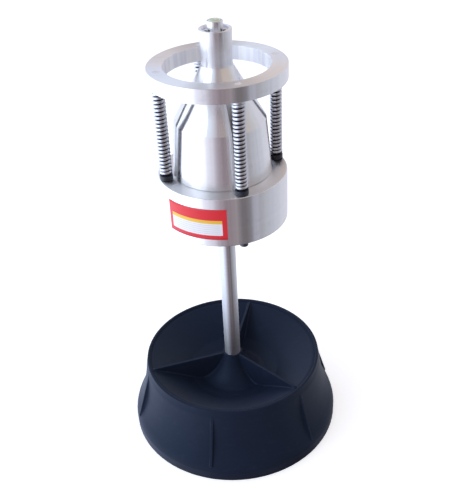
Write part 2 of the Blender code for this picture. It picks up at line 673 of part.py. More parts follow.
def make_springs():
    """Winds the compression springs between collar and ring."""
    mean = SPRING_RADIUS - WIRE_RADIUS
    curve = bpy.data.curves.new("spring", "CURVE")
    curve.dimensions = "3D"
    curve.bevel_depth = WIRE_RADIUS
    curve.bevel_resolution = 1
    curve.use_fill_caps = True
    spline = curve.splines.new("POLY")
    count = SPRING_TURNS * COIL_SIDES
    spline.points.add(count)
    for number, point in enumerate(spline.points):
        angle = number * math.tau / COIL_SIDES
        height = coil_height(number / COIL_SIDES)
        point.co = (mean * math.cos(angle), mean * math.sin(angle), height, 1)
    wire = bpy.data.objects.new("spring", curve)
    PARTS.objects.link(wire)
    return repeat(wire, "spring", SPRING_AZIMUTH, SPRING_COUNT, SPRING_CIRCLE_RADIUS)


def build():
    """Builds every piece, gives it its finish and hangs it on the body that it moves with."""
    moulding = finish("black moulding", (0.012, 0.016, 0.026), 0.45, 0)
    steel = finish("bright steel", (0.62, 0.62, 0.63), 0.25, 1)
    hard_steel = finish("hardened steel", (0.35, 0.35, 0.36), 0.2, 1)
    zinc = finish("zinc plated steel", (0.5, 0.5, 0.48), 0.35, 1)
    black_steel = finish("black oxide steel", (0.03, 0.03, 0.035), 0.4, 1)
    aluminium = finish("turned aluminium", (0.78, 0.77, 0.77), 0.28, 1)
    spring_steel = finish("spring steel", (0.4, 0.41, 0.43), 0.2, 1)
    nylon = finish("black nylon", (0.01, 0.012, 0.02), 0.4, 0)
    glass = finish("green glass", (0.55, 0.68, 0.42), 0.08, 0)

    stand = carrier("stand", 0)
    for piece, material in ((make_base(), moulding), (make_post(), steel),
                            (make_post_washer(), zinc), (make_post_bolt(), zinc)):
        hang(piece, stand, material)

    pivot = carrier("head_pivot", PIVOT_HEIGHT)
    for piece, material in ((make_pivot_cup(), hard_steel), (make_pivot_ball(), hard_steel),
                            (make_pivot_seat(), hard_steel),
                            (make_hub(), aluminium), (make_block(), aluminium),
                            (make_holder(), steel), (make_vial(), glass)):
        hang(piece, pivot, material)
    for piece in make_hub_screws() + make_level_screws():
        hang(piece, pivot, black_steel)
    for piece in make_collars():
        hang(piece, pivot, nylon)
    for piece in make_springs():
        hang(piece, pivot, spring_steel)

    slide = carrier("ring_slide", RING_BOTTOM)
    hang(make_ring(), slide, aluminium)
    for piece in make_rods():
        hang(piece, slide, black_steel)


build()
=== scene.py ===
"""The looks of a bubble wheel balancer: a turned aluminium head on a post over a moulded foot."""
import math

import bmesh
import bpy
import numpy as np
from mathutils import Matrix, Vector


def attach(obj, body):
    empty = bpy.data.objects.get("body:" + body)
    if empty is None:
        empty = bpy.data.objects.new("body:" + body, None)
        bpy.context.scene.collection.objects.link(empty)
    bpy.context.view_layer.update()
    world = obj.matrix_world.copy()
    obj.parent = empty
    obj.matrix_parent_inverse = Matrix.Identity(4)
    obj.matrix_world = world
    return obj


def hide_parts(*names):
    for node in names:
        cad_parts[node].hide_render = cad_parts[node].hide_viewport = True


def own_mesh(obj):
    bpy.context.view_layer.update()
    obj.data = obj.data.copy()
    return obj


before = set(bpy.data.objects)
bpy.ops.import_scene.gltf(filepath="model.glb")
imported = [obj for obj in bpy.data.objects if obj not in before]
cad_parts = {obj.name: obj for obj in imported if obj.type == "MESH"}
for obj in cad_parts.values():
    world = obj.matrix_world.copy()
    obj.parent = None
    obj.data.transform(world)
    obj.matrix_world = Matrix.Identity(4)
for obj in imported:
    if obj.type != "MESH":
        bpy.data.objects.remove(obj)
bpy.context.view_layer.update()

# Camera
# The photograph is taken from the front, 33 degrees above level, with the camera leaning a
# little, so that the post runs down to the right.
PITCH = math.radians(33.3616)
YAW = math.radians(0.9521)
ROLL = math.radians(-2.6328)
CAMERA_PLACE = (0.0, -0.70514, 0.70263)
FOCAL_LENGTH = 53.537
SENSOR_WIDTH = 36

forward = Vector((math.sin(YAW) * math.cos(PITCH), math.cos(YAW) * math.cos(PITCH), -math.sin(PITCH)))
level = Vector((math.cos(YAW), -math.sin(YAW), 0))
above = level.cross(forward)
camera_right = level * math.cos(ROLL) + above * math.sin(ROLL)
camera_up = above * math.cos(ROLL) - level * math.sin(ROLL)
lens = bpy.data.cameras.new("camera")
lens.lens = FOCAL_LENGTH
lens.sensor_width = SENSOR_WIDTH
lens.clip_start = 0.01
camera = bpy.data.objects.new("camera", lens)
rows = [(camera_right[i], camera_up[i], -forward[i], CAMERA_PLACE[i]) for i in range(3)]
camera.matrix_world = Matrix((*rows, (0, 0, 0, 1)))
bpy.context.scene.collection.objects.link(camera)
bpy.context.scene.camera = camera
bpy.context.scene.view_settings.view_transform = "Standard"

# Studio
# A white floor under a soft white tent. The bright side is on the left, and one gap in the tent,
# to the right of the camera, draws the dark streak that the turned pieces show.
WALL_STOPS = (
    (-180, 0.70, 0.72, 0.84), (-150, 0.90, 0.98, 1.20), (-125, 1.25, 1.40, 1.75),
    (-100, 1.55, 1.72, 2.00), (-62, 1.55, 1.72, 2.00), (-48, 1.12, 1.19, 1.42),
    (-37, 0.86, 0.87, 1.00), (-28, 0.67, 0.67, 0.78), (-19, 0.60, 0.59, 0.68),
    (-14, 0.41, 0.38, 0.44), (-8, 0.36, 0.32, 0.37), (-1, 0.26, 0.215, 0.25),
    (8, 0.25, 0.205, 0.23), (20, 0.27, 0.245, 0.265), (28, 0.155, 0.145, 0.16),
    (37, 0.14, 0.13, 0.14), (44, 0.20, 0.19, 0.22), (50, 0.33, 0.34, 0.40),
    (57, 0.39, 0.39, 0.46), (62, 0.31, 0.32, 0.36), (70, 0.40, 0.41, 0.45),
    (88, 0.45, 0.47, 0.54), (112, 0.55, 0.57, 0.64), (135, 0.60, 0.61, 0.69),
    (160, 0.63, 0.64, 0.74), (180, 0.70, 0.71, 0.80))
ROOF_STOPS = (
    (-180, 0.560, 0.550, 0.600), (-171, 0.500, 0.560, 0.730), (-140, 0.82, 0.90, 1.02),
    (-110, 0.96, 1.06, 1.22), (-75, 0.91, 1.01, 1.16), (-57, 0.82, 0.90, 1.03),
    (-45, 0.84, 0.90, 0.97), (-32, 0.69, 0.80, 0.94), (-20, 0.59, 0.61, 0.70),
    (-7, 0.36, 0.32, 0.34), (7, 0.355, 0.300, 0.290), (20, 0.38, 0.33, 0.31),
    (33, 0.50, 0.43, 0.385), (58, 0.50, 0.42, 0.38), (75, 0.48, 0.43, 0.39),
    (92, 0.50, 0.49, 0.49), (112, 0.58, 0.57, 0.61), (130, 0.62, 0.61, 0.67),
    (171, 0.665, 0.545, 0.455), (180, 0.560, 0.550, 0.600))
WALL_PEAK = 2.0
WALL_FOLD = 0.86
ROOF_FOLD = 0.98
TENT_FOLDS = 70
TENT_STRENGTH = 1.37
ROOF_RISE = (0.12, 0.42)
ZENITH = (0.34, 0.33, 0.37)
ZENITH_RISE = (0.68, 0.90)
FLOOR_SPAN = 3.0
FLOOR_COLOUR = 0.82
FLOOR_GLOW = 0.55
NEAR_PAINTED_SHADE = (0.84, 0.94, 1.22)
NEAR_REACH = 0.42
FAR_REACH = 0.50
KEY_SIZE = (1.2, 1.0)
KEY_ENERGY = 8
KEY_COLOUR = (0.72, 0.86, 1.0)
KEY_PLACE = (-1.5, -0.9, 1.3)
KEY_AIM = (0, 0, 0.2)


def link(tree, output, socket):
    """Joins two sockets of a node tree."""
    tree.links.new(output, socket)


def node(tree, kind, **settings):
    """Adds a node with its settings."""
    item = tree.nodes.new(kind)
    for name, value in settings.items():
        setattr(item, name, value)
    return item


def math_node(tree, operation, first, second=None):
    """Adds a math node; an input is a number or another node's output."""
    item = node(tree, "ShaderNodeMath", operation=operation)
    for socket, value in zip(item.inputs, (first, second)):
        if isinstance(value, (int, float)):
            socket.default_value = value
        elif value is not None:
            link(tree, value, socket)
    return item.outputs[0]


def mix_colour(tree, share, first, second, blend="MIX"):
    """Mixes two colours; share and colours are values or outputs."""
    item = node(tree, "ShaderNodeMix", data_type="RGBA", blend_type=blend)
    for socket, value in ((item.inputs[0], share), (item.inputs[6], first), (item.inputs[7], second)):
        if isinstance(value, bpy.types.NodeSocket):
            link(tree, value, socket)
        elif isinstance(value, (int, float)):
            socket.default_value = value
        else:
            socket.default_value = (*value, 1)
    return item.outputs[2]


def ramp(tree, value, stops):
    """Adds a colour ramp; each stop is a place and a colour or a grey."""
    item = node(tree, "ShaderNodeValToRGB")
    link(tree, value, item.inputs[0])
    elements = item.color_ramp.elements
    for index, (place, colour) in enumerate(stops):
        element = elements[index] if index < 2 else elements.new(place)
        element.position = place
        element.color = (*colour, 1) if isinstance(colour, tuple) else (colour, colour, colour, 1)
    return item.outputs[0]


def split_xyz(tree, vector):
    """Gives the three parts of a vector."""
    item = node(tree, "ShaderNodeSeparateXYZ")
    link(tree, vector, item.inputs[0])
    return item.outputs


def smooth_step(tree, value, low, high):
    """Rises smoothly from nought where the value is low to one where it is high."""
    item = node(tree, "ShaderNodeMapRange", interpolation_type="SMOOTHSTEP")
    item.inputs["From Min"].default_value = low
    item.inputs["From Max"].default_value = high
    link(tree, value, item.inputs["Value"])
    return item.outputs[0]


def line_noise(tree, value, detail):
    """Gives noise that changes along one value alone."""
    item = node(tree, "ShaderNodeTexNoise", noise_dimensions="1D")
    item.inputs["Scale"].default_value = 1
    item.inputs["Detail"].default_value = detail
    link(tree, value, item.inputs["W"])
    return item.outputs[0]


def mix_shader(tree, share, first, second):
    """Mixes two shaders; where the share is one, only the second is left."""
    item = node(tree, "ShaderNodeMixShader")
    for socket, value in zip(item.inputs, (share, first, second)):
        link(tree, value, socket)
    return item.outputs[0]


def new_group(name, inputs, outputs):
    """Starts a node group and gives it with its input's outputs and its output's inputs."""
    group = bpy.data.node_groups.new(name, "ShaderNodeTree")
    for way, sockets in (("INPUT", inputs), ("OUTPUT", outputs)):
        for label, kind in sockets:
            group.interface.new_socket(label, in_out=way, socket_type="NodeSocket" + kind)
    return group, node(group, "NodeGroupInput").outputs, node(group, "NodeGroupOutput").inputs


def use_group(tree, group, place, *settings):
    """Adds a node group at a place, with its other inputs set, and gives its outputs."""
    item = node(tree, "ShaderNodeGroup", node_tree=group)
    link(tree, place, item.inputs[0])
    for socket, value in zip(item.inputs[1:], settings):
        socket.default_value = value
    return item.outputs


def tent_group(name, colours, shade_of_fold):
    """Gives the tent's colour in a direction, from its bearing: the arc tangent of X over minus Y.

    The bearing is nought towards the camera and rises to the right. Each stop is a bearing in
    degrees and a colour. Upright folds, as noise along the bearing, shade the colour a little.
    """
    group, given, result = new_group(name, (("Direction", "Vector"),), (("Colour", "Color"),))
    parts = split_xyz(group, given[0])
    back = math_node(group, "MULTIPLY", parts[1], -1.0)
    bearing = math_node(group, "ARCTAN2", parts[0], back)
    turn = math_node(group, "ADD", math_node(group, "DIVIDE", bearing, math.tau), 0.5)
    stops = [((degrees + 180) / 360, tuple(value / WALL_PEAK for value in colour))
             for degrees, *colour in colours]
    folds = line_noise(group, math_node(group, "MULTIPLY", turn, TENT_FOLDS), 2)
    shade = ramp(group, folds, ((0.35, shade_of_fold), (0.65, 1.0)))
    link(group, mix_colour(group, 1.0, ramp(group, turn, stops), shade, "MULTIPLY"), result[0])
    return group


tent = tent_group("tent wall", WALL_STOPS, WALL_FOLD)
roof = tent_group("tent roof", ROOF_STOPS, ROOF_FOLD)
world = bpy.data.worlds.new("tent")
bpy.context.scene.world = world
world.use_nodes = True
tree = world.node_tree
tree.nodes.clear()
direction = node(tree, "ShaderNodeTexCoord").outputs["Generated"]
height = split_xyz(tree, direction)[2]
inner = use_group(tree, tent, direction)[0]
for colour, rise in ((use_group(tree, roof, direction)[0], ROOF_RISE),
                     (tuple(value / WALL_PEAK for value in ZENITH), ZENITH_RISE)):
    inner = mix_colour(tree, smooth_step(tree, height, *rise), inner, colour)
white = node(tree, "ShaderNodeBackground")
white.inputs["Color"].default_value = (1, 1, 1, 1)
lit = node(tree, "ShaderNodeBackground")
lit.inputs["Strength"].default_value = TENT_STRENGTH * WALL_PEAK
link(tree, inner, lit.inputs["Color"])
seen = node(tree, "ShaderNodeLightPath").outputs
sky = mix_shader(tree, seen["Is Camera Ray"], lit.outputs[0], white.outputs[0])
link(tree, sky, node(tree, "ShaderNodeOutputWorld").inputs[0])

floor_mesh = bpy.data.meshes.new("floor")
corners = [(x * FLOOR_SPAN, y * FLOOR_SPAN, 0) for x, y in ((-1, -1), (1, -1), (1, 1), (-1, 1))]
floor_mesh.from_pydata(corners, [], [(0, 1, 2, 3)])
floor = bpy.data.objects.new("floor", floor_mesh)
bpy.context.scene.collection.objects.link(floor)
paper = bpy.data.materials.new("white paper")
paper.use_nodes = True
tree = paper.node_tree
tree.nodes.clear()
place = node(tree, "ShaderNodeTexCoord").outputs["Object"]
wall = use_group(tree, tent, place)[0]
seen = node(tree, "ShaderNodeLightPath").outputs
matt = node(tree, "ShaderNodeBsdfDiffuse")
matt.inputs["Color"].default_value = (FLOOR_COLOUR, FLOOR_COLOUR, FLOOR_COLOUR, 1)
lift = node(tree, "ShaderNodeEmission")
lift.inputs["Color"].default_value = (1, 1, 1, 1)
link(tree, math_node(tree, "MULTIPLY", seen["Is Camera Ray"], FLOOR_GLOW), lift.inputs["Strength"])
shown = node(tree, "ShaderNodeAddShader")
link(tree, matt.outputs[0], shown.inputs[0])
link(tree, lift.outputs[0], shown.inputs[1])
# A glossy ray meets the tent's lower wall on the floor, darkened close to the object: a painted shade of the
# object on the floor, seen only in reflections.
mirrored = node(tree, "ShaderNodeEmission")
mirrored.inputs["Strength"].default_value = TENT_STRENGTH * WALL_PEAK
reach = node(tree, "ShaderNodeVectorMath", operation="LENGTH")
link(tree, place, reach.inputs[0])
far = smooth_step(tree, reach.outputs["Value"], NEAR_REACH, FAR_REACH)
painted_shade_close = mix_colour(tree, 1.0, wall, tuple(value / WALL_PEAK for value in NEAR_PAINTED_SHADE), "DARKEN")
link(tree, mix_colour(tree, far, painted_shade_close, wall), mirrored.inputs["Color"])
either = mix_shader(tree, seen["Is Glossy Ray"], shown.outputs[0], mirrored.outputs[0])
link(tree, either, node(tree, "ShaderNodeOutputMaterial").inputs[0])
floor_mesh.materials.append(paper)

key = bpy.data.lights.new("left softbox", "AREA")
key.shape = "RECTANGLE"
key.size, key.size_y = KEY_SIZE
key.energy = KEY_ENERGY
key.color = KEY_COLOUR
key_lamp = bpy.data.objects.new("left softbox", key)
key_lamp.location = KEY_PLACE
aim = Vector(KEY_AIM) - key_lamp.location
key_lamp.rotation_euler = aim.to_track_quat("-Z", "Y").to_euler()
bpy.context.scene.collection.objects.link(key_lamp)

# Base
# One black plastic moulding: a flared skirt with six tapered gussets, and a shallow dish with
# three ribs that run level from the rim to the boss. The boss takes the foot of the post.
EVERY = 60
FIRST = -45
SECTORS = 6
WALL = 0.003
RIM_RADIUS = 0.1069
RIB_HALF = 0.0015
RIB_HEIGHT = 0.0895
RIB_ROOT = 0.0022
GUSSET_HALF = 0.0015
GUSSET_ROOT = 0.0012
GUSSET_TOP = 0.0836
GUSSET_LOW = 0.0193
GUSSET_SLOPE = 0.3003
SPREAD_RADIUS = 0.0135
BASE_COLUMNS = 14
EDGE = 0.0004
DRAFT = 0.0001
SKIRT = ((0.1069, 0.0838), (0.1077, 0.080), (0.1089, 0.071), (0.1108, 0.060), (0.1130, 0.050),
         (0.1159, 0.040), (0.1199, 0.0297), (0.1247, 0.0195), (0.1268, 0.0125), (0.127, 0.0092))
DISH = ((0.0995, 0.0877), (0.090, 0.0834), (0.0777, 0.0773), (0.064, 0.0698), (0.052, 0.0626),
        (0.044, 0.0592), (0.038, 0.0586), (0.0325, 0.0604), (0.027, 0.0643), (0.0225, 0.0690))


def smooth_line(points, steps):
    """Runs a Catmull-Rom curve through the points, with so many steps from one to the next."""
    known = np.array(points)
    ends = np.vstack([2 * known[0] - known[1], known, 2 * known[-1] - known[-2]])
    share = np.arange(steps)[:, None] / steps
    before, start, end, after = (ends[i:len(known) - 1 + i, None] for i in range(4))
    curve = 0.5 * (2 * start + (end - before) * share
                   + (2 * before - 5 * start + 4 * end - after) * share ** 2
                   + (3 * start - before - 3 * end + after) * share ** 3)
    return np.vstack([curve.reshape(-1, known.shape[1]), known[-1:]])


def rounded(corners, steps=5, hold=0.00025):
    """Rounds a closed line of (radius, height, fillet) corners.

    The arc starts at fillet times the tangent of half the turn before the corner, and its points
    turn evenly about a centre on the bisector. A point just beyond each end keeps the flats flat.
    """
    line = []
    for index, (radius, height, fillet) in enumerate(corners):
        here = np.array((radius, height))
        if not fillet:
            line.append(here[None])
            continue
        back = np.array(corners[index - 1][:2]) - here
        ahead = np.array(corners[(index + 1) % len(corners)][:2]) - here
        back = back / np.linalg.norm(back)
        ahead = ahead / np.linalg.norm(ahead)
        turn = math.pi - math.acos(float(np.clip(back @ ahead, -1, 1)))
        reach = fillet * math.tan(turn / 2)
        middle = (back + ahead) / np.linalg.norm(back + ahead) * fillet / math.cos(turn / 2)
        share = np.linspace(0, 1, steps)[:, None]
        spoke = np.sin((1 - share) * turn) * (back * reach - middle)
        spoke = (spoke + np.sin(share * turn) * (ahead * reach - middle)) / math.sin(turn)
        first = here + back * (reach + hold)
        last = here + ahead * (reach + hold)
        line.append(np.vstack([first[None], here + middle + spoke, last[None]]))
    return np.vstack(line)


def surface(name, grid, closed=True, edge=40):
    """Makes a mesh from a grid of points by joining each to the next row and column.

    Columns close on themselves, and so do rows where closed says so. Points that meet are merged,
    and edges that turn more than the edge angle stay sharp.
    """
    rows, columns = grid.shape[:2]
    number = np.arange(rows * columns).reshape(rows, columns)
    if closed:
        number = np.vstack([number, number[:1]])
    number = np.hstack([number, number[:, :1]])
    faces = np.stack([number[:-1, :-1], number[:-1, 1:], number[1:, 1:], number[1:, :-1]], axis=-1)
    mesh = bpy.data.meshes.new(name)
    mesh.from_pydata(grid.reshape(-1, 3).tolist(), [], faces.reshape(-1, 4).tolist())
    shape = bmesh.new()
    shape.from_mesh(mesh)
    bmesh.ops.remove_doubles(shape, verts=shape.verts, dist=0.000002)
    bmesh.ops.recalc_face_normals(shape, faces=shape.faces)
    shape.to_mesh(mesh)
    shape.free()
    mesh.shade_smooth()
    mesh.set_sharp_from_angle(angle=math.radians(edge))
    piece = bpy.data.objects.new(name, mesh)
    bpy.context.scene.collection.objects.link(piece)
    return piece


def flank(offset, half, root):
    """Gives how far a rib's side drops below its top, and how far its root stands off the wall.

    Past the flat top the edge falls on a small circle. Outside the side, the root is a hollow
    quarter circle that meets the wall one root radius away.
    """
    across = np.clip(offset - (half - EDGE), 0, EDGE)
    drop = EDGE - np.sqrt(EDGE ** 2 - across ** 2)
    out = np.clip(half + DRAFT + root - offset, 0, root)
    stand = root - np.sqrt(root ** 2 - out ** 2)
    return drop, np.where(offset <= half, 1.0, stand)


def base_outline():
    """Lists the moulding's closed section, and the name of the part that each row belongs to."""
    rim = rounded(((0.1069, 0.0838, 0), (0.106, 0.0890, 0), (0.1059, 0.0900, 0.0007),
                   (0.1032, 0.0900, 0.0006), (0.1026, 0.0886, 0.0004), (0.1013, 0.0881, 0.0003)))[1:]
    skirt = smooth_line(SKIRT, 5)[::-1]
    dish = smooth_line(DISH, 6)
    boss = smooth_line(((0.0217, 0.0700), (0.0178, 0.0755), (0.0145, 0.0815), (0.0120, 0.0875),
                        (0.0117, 0.0887)), 4)
    crown = rounded(((0.0117, 0.0887, 0), (0.0112, 0.0900, 0.0005), (0.0098, 0.0900, 0.0002),
                     (0.0098, 0.030, 0), (0.0051, 0.030, 0), (0.0051, 0.024, 0), (0.016, 0.024, 0.0005),
                     (0.016, 0.0535, 0), (0.019, 0.056, 0), (0.034, 0.056, 0)))[1:]
    below = smooth_line(DISH, 2)[:6][::-1] - (0, WALL)
    inside = np.vstack([[(0.1010, 0.0845), (0.1035, 0.0825)], smooth_line(SKIRT, 2)[1:] - (WALL, 0)])
    foot = rounded(((0.124, 0.004, 0), (0.124, 0, 0.0006), (0.127, 0, 0.0006), (0.127, 0.0085, 0)))[1:]
    parts = {"foot": foot, "skirt": skirt, "rim": rim, "dish": dish, "boss": boss,
             "crown": crown, "below": below, "inside": inside}
    kinds = np.concatenate([np.full(len(part), kind) for kind, part in parts.items()])
    return np.vstack(list(parts.values())), kinds


outline, kinds = base_outline()
offsets = np.array((0, 0.5, 0.85, 1.0, 1.12, 1.2, 1.25, 1.36, 1.45, 1.5, 1.6, 1.8, 2.05, 2.4, 2.9, 3.8, 5.2))
offsets = np.concatenate([-offsets[:0:-1], offsets]) / 1000
wide = np.linspace(0, 1, BASE_COLUMNS)[1:-1]
radius = outline[:, :1]
spread = np.arcsin(np.clip(offsets / np.maximum(radius, SPREAD_RADIUS), -1, 1))
gap = math.radians(EVERY) - 2 * spread[:, -1:]
sector = np.hstack([spread, spread[:, -1:] + gap * wide])
distance = np.hstack([np.abs(offsets) + 0 * radius, np.full((len(outline), len(wide)), 1.0)])
starts = np.radians(FIRST + EVERY * np.arange(SECTORS))
angle = (starts[None, :, None] + sector[:, None]).reshape(len(outline), -1)
distance = np.tile(distance, SECTORS)
ribbed = np.repeat(np.arange(SECTORS) % 2 == 0, sector.shape[1])[None]
height = outline[:, 1:] + 0 * angle
radius = radius + 0 * angle
drop, stand = flank(distance, RIB_HALF, RIB_ROOT)
rise = np.clip(np.minimum(RIB_HEIGHT - drop - height, stand), 0, None)
on_dish = ((kinds == "dish") | (kinds == "boss"))[:, None]
height = height + np.where(on_dish & ribbed, rise, 0)
drop, stand = flank(distance, GUSSET_HALF, GUSSET_ROOT)
fin = RIM_RADIUS + (GUSSET_TOP - height) * GUSSET_SLOPE
push = np.clip(np.minimum(fin - drop - radius, stand), 0, None)
on_skirt = (kinds == "skirt")[:, None] & (height < GUSSET_TOP) & (height > GUSSET_LOW)
radius = radius + np.where(on_skirt, push, 0)
base = surface("base_moulding", np.stack([radius * np.cos(angle), radius * np.sin(angle), height], -1))


def noise(tree, vector, scale, detail, roughness=0.55):
    """Adds a noise texture and gives its value."""
    item = node(tree, "ShaderNodeTexNoise")
    item.inputs["Scale"].default_value = scale
    item.inputs["Detail"].default_value = detail
    item.inputs["Roughness"].default_value = roughness
    link(tree, vector, item.inputs["Vector"])
    return item.outputs[0]


def bump(tree, value, distance, strength):
    """Adds a bump node and gives its normal."""
    item = node(tree, "ShaderNodeBump")
    item.inputs["Distance"].default_value = distance
    item.inputs["Strength"].default_value = strength
    link(tree, value, item.inputs["Height"])
    return item.outputs[0]


def finish(name, metallic):
    """Starts a material and gives it with its tree, its shader and its object coordinates."""
    material = bpy.data.materials.new(name)
    material.use_nodes = True
    tree = material.node_tree
    shader = tree.nodes["Principled BSDF"]
    shader.inputs["Metallic"].default_value = metallic
    place = node(tree, "ShaderNodeTexCoord").outputs["Object"]
    return material, tree, shader, place


def stretched(tree, place, scale, rotation=(0, 0, 0)):
    """Scales and turns coordinates, so that noise on them is drawn out one way."""
    item = node(tree, "ShaderNodeMapping")
    item.inputs["Scale"].default_value = scale
    item.inputs["Rotation"].default_value = rotation
    link(tree, place, item.inputs["Vector"])
    return item.outputs[0]


def rubbed_group():
    """Gives where a surface has been handled: broad smears, and fine scuffs that lie every way."""
    group, given, result = new_group("handling", (("Place", "Vector"),),
                                     (("Smears", "Float"), ("Scuffs", "Float")))
    link(group, noise(group, given[0], 14, 4, 0.6), result[0])
    scuffs = noise(group, stretched(group, given[0], (40, 260, 120), (0.4, 0.2, 0.7)), 1, 2, 0.5)
    link(group, ramp(group, scuffs, ((0.60, 0.0), (0.72, 1.0))), result[1])
    return group


def worn_finish(name, metallic, colours, gloss, grain):
    """Makes a material whose colour and roughness vary with the smears of handling.

    Gloss is the roughness without a smear and what a full smear adds to it. Grain is the scale
    and the detail of a fine noise, and the depth and the strength of its bump. The colour's
    output comes with the material, for a finish that changes it further.
    """
    material, tree, shader, place = finish(name, metallic)
    smears = use_group(tree, handling, place)[0]
    tone = mix_colour(tree, smears, *colours)
    link(tree, tone, shader.inputs["Base Color"])
    added = math_node(tree, "MULTIPLY", smears, gloss[1])
    link(tree, math_node(tree, "ADD", added, gloss[0]), shader.inputs["Roughness"])
    scale, detail, depth, strength = grain
    link(tree, bump(tree, noise(tree, place, scale, detail), depth, strength), shader.inputs["Normal"])
    return material, tree, shader, place, tone


handling = rubbed_group()
# The plastic is black; the blue cast of its colour and its blue specular tint below are painted light,
# standing for bluish light from the left.
black_plastic, tree, shader, place, tone = worn_finish(
    "black moulded plastic", 0, ((0.0085, 0.0125, 0.0270), (0.0120, 0.0175, 0.0370)), (0.42, 0.16),
    (900, 3, 0.00012, 0.6))
scuffs = math_node(tree, "MULTIPLY", use_group(tree, handling, place)[1], 0.15)
link(tree, mix_colour(tree, scuffs, tone, (0.03, 0.035, 0.05)), shader.inputs["Base Color"])
shader.inputs["Specular IOR Level"].default_value = 0.20
shader.inputs["Specular Tint"].default_value = (0.46, 0.70, 1.0, 1)
base.data.materials.append(black_plastic)
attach(base, "stand")
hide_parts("base")

# Post
# A bright steel bar, ground smooth, that the bolt under the base pulls down into the boss. Its tip
# is necked down inside the head, and a hard cup for the pivot ball is let into it.
POST_RADIUS = 0.0095
POST_BOTTOM = 0.0303
SHOULDER = 0.460
TIP_RADIUS = 0.0075
TIP_TOP = 0.468
CUP_RADIUS = 0.0063
CUP_FLOOR = 0.4627
BOLT_RADIUS = 0.0051
BOLT_TOP = 0.0506
BROAD_RINGS = 0.12
STEEL_RINGS = 2500


def lathe(name, line, sides, centre=(0, 0), edge=40):
    """Turns a closed line of (radius, height) about an upright axis through the centre."""
    angle = np.arange(sides) * math.tau / sides
    across = centre[0] + line[:, :1] * np.cos(angle)
    along = centre[1] + line[:, :1] * np.sin(angle)
    return surface(name, np.stack([across, along, line[:, 1:] + 0 * angle], -1), edge=edge)


def diagonal(tree, first, second):
    """Gives the root of two values' squares added up."""
    squares = [math_node(tree, "MULTIPLY", value, value) for value in (first, second)]
    return math_node(tree, "SQRT", math_node(tree, "ADD", *squares))


def turned_group():
    """Gives fine rings from a lathe: noise that changes only with radius plus height."""
    group, given, result = new_group("turning marks", (("Place", "Vector"), ("Rings a metre", "Float")),
                                     (("Fine", "Float"), ("Broad", "Float")))
    parts = split_xyz(group, given[0])
    along = math_node(group, "ADD", diagonal(group, parts[0], parts[1]), parts[2])
    for socket, share in zip(result, (1.0, BROAD_RINGS)):
        count = math_node(group, "MULTIPLY", given[1], share)
        link(group, line_noise(group, math_node(group, "MULTIPLY", along, count), 3), socket)
    return group


def grained(tree, shader):
    """Spreads the gloss across the grooves that run round the axis, and keeps it sharp along them."""
    shader.inputs["Anisotropic"].default_value = 1.0
    shader.inputs["Anisotropic Rotation"].default_value = 0.25
    tangent = node(tree, "ShaderNodeTangent", direction_type="RADIAL", axis="Z")
    link(tree, tangent.outputs[0], shader.inputs["Tangent"])


turning = turned_group()
bright_steel, tree, shader, place = finish("bright steel", 1)
rings = use_group(tree, turning, place, STEEL_RINGS)
worn = use_group(tree, handling, place)
link(tree, mix_colour(tree, rings[1], (0.66, 0.66, 0.68), (0.74, 0.74, 0.76)), shader.inputs["Base Color"])
haze = math_node(tree, "MULTIPLY", worn[0], 0.06)
link(tree, math_node(tree, "ADD", haze, 0.26), shader.inputs["Roughness"])
grained(tree, shader)
link(tree, bump(tree, rings[0], 0.00002, 0.2), shader.inputs["Normal"])
line = rounded(((0, CUP_FLOOR, 0), (CUP_RADIUS, CUP_FLOOR, 0), (CUP_RADIUS, TIP_TOP, 0.0001),
                (TIP_RADIUS, TIP_TOP, 0.0004), (POST_RADIUS, SHOULDER, 0.0015),
                (POST_RADIUS, POST_BOTTOM, 0.001), (BOLT_RADIUS, POST_BOTTOM, 0.0003),
                (BOLT_RADIUS, BOLT_TOP, 0), (0, BOLT_TOP, 0)))
post = lathe("post_bar", line, 64)
post.data.materials.append(bright_steel)
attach(post, "stand")
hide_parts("post")

# Cone
# The aluminium cone is turned with its neck from one bar, and a slot is milled behind each spring.
# It stands on the block and carries the pivot seat and the vial in the top of the neck.
SPRING_BEARING = math.radians(-73)
SLOT_HALF = 0.0025
SLOT_FLOOR = 0.030
SLOT_EDGE = 0.0026
SLOT_FALL = 0.67
PLAIN_RADIUS = 0.0201
LEAST_RADIUS = 0.0150
WIDEST_SWING = 0.70
MILLED_LOW = 0.3434
MILLED_HIGH = 0.4318
BESIDE_LOW = 0.3436
BESIDE_HIGH = 0.4330
BESIDE_NEAR = 0.0050
BESIDE_FAR = 0.0120
MOUTH_LOW = 0.4835
MOUTH_INNER = 0.0082
MOUTH_OUTER = 0.0131
BORE_RADIUS = 0.008
FACING_UP = 0.95
ALUMINIUM_RINGS = 1600
CONE_COLUMNS = 18


def closer(line, step):
    """Adds even points along each side of a closed line, so that no side is longer than the step."""
    ends = np.roll(line, -1, axis=0)
    parts = np.ceil(np.linalg.norm(ends - line, axis=1) / step).astype(int).clip(1)
    return np.vstack([np.linspace(a, b, n, endpoint=False) for a, b, n in zip(line, ends, parts)])


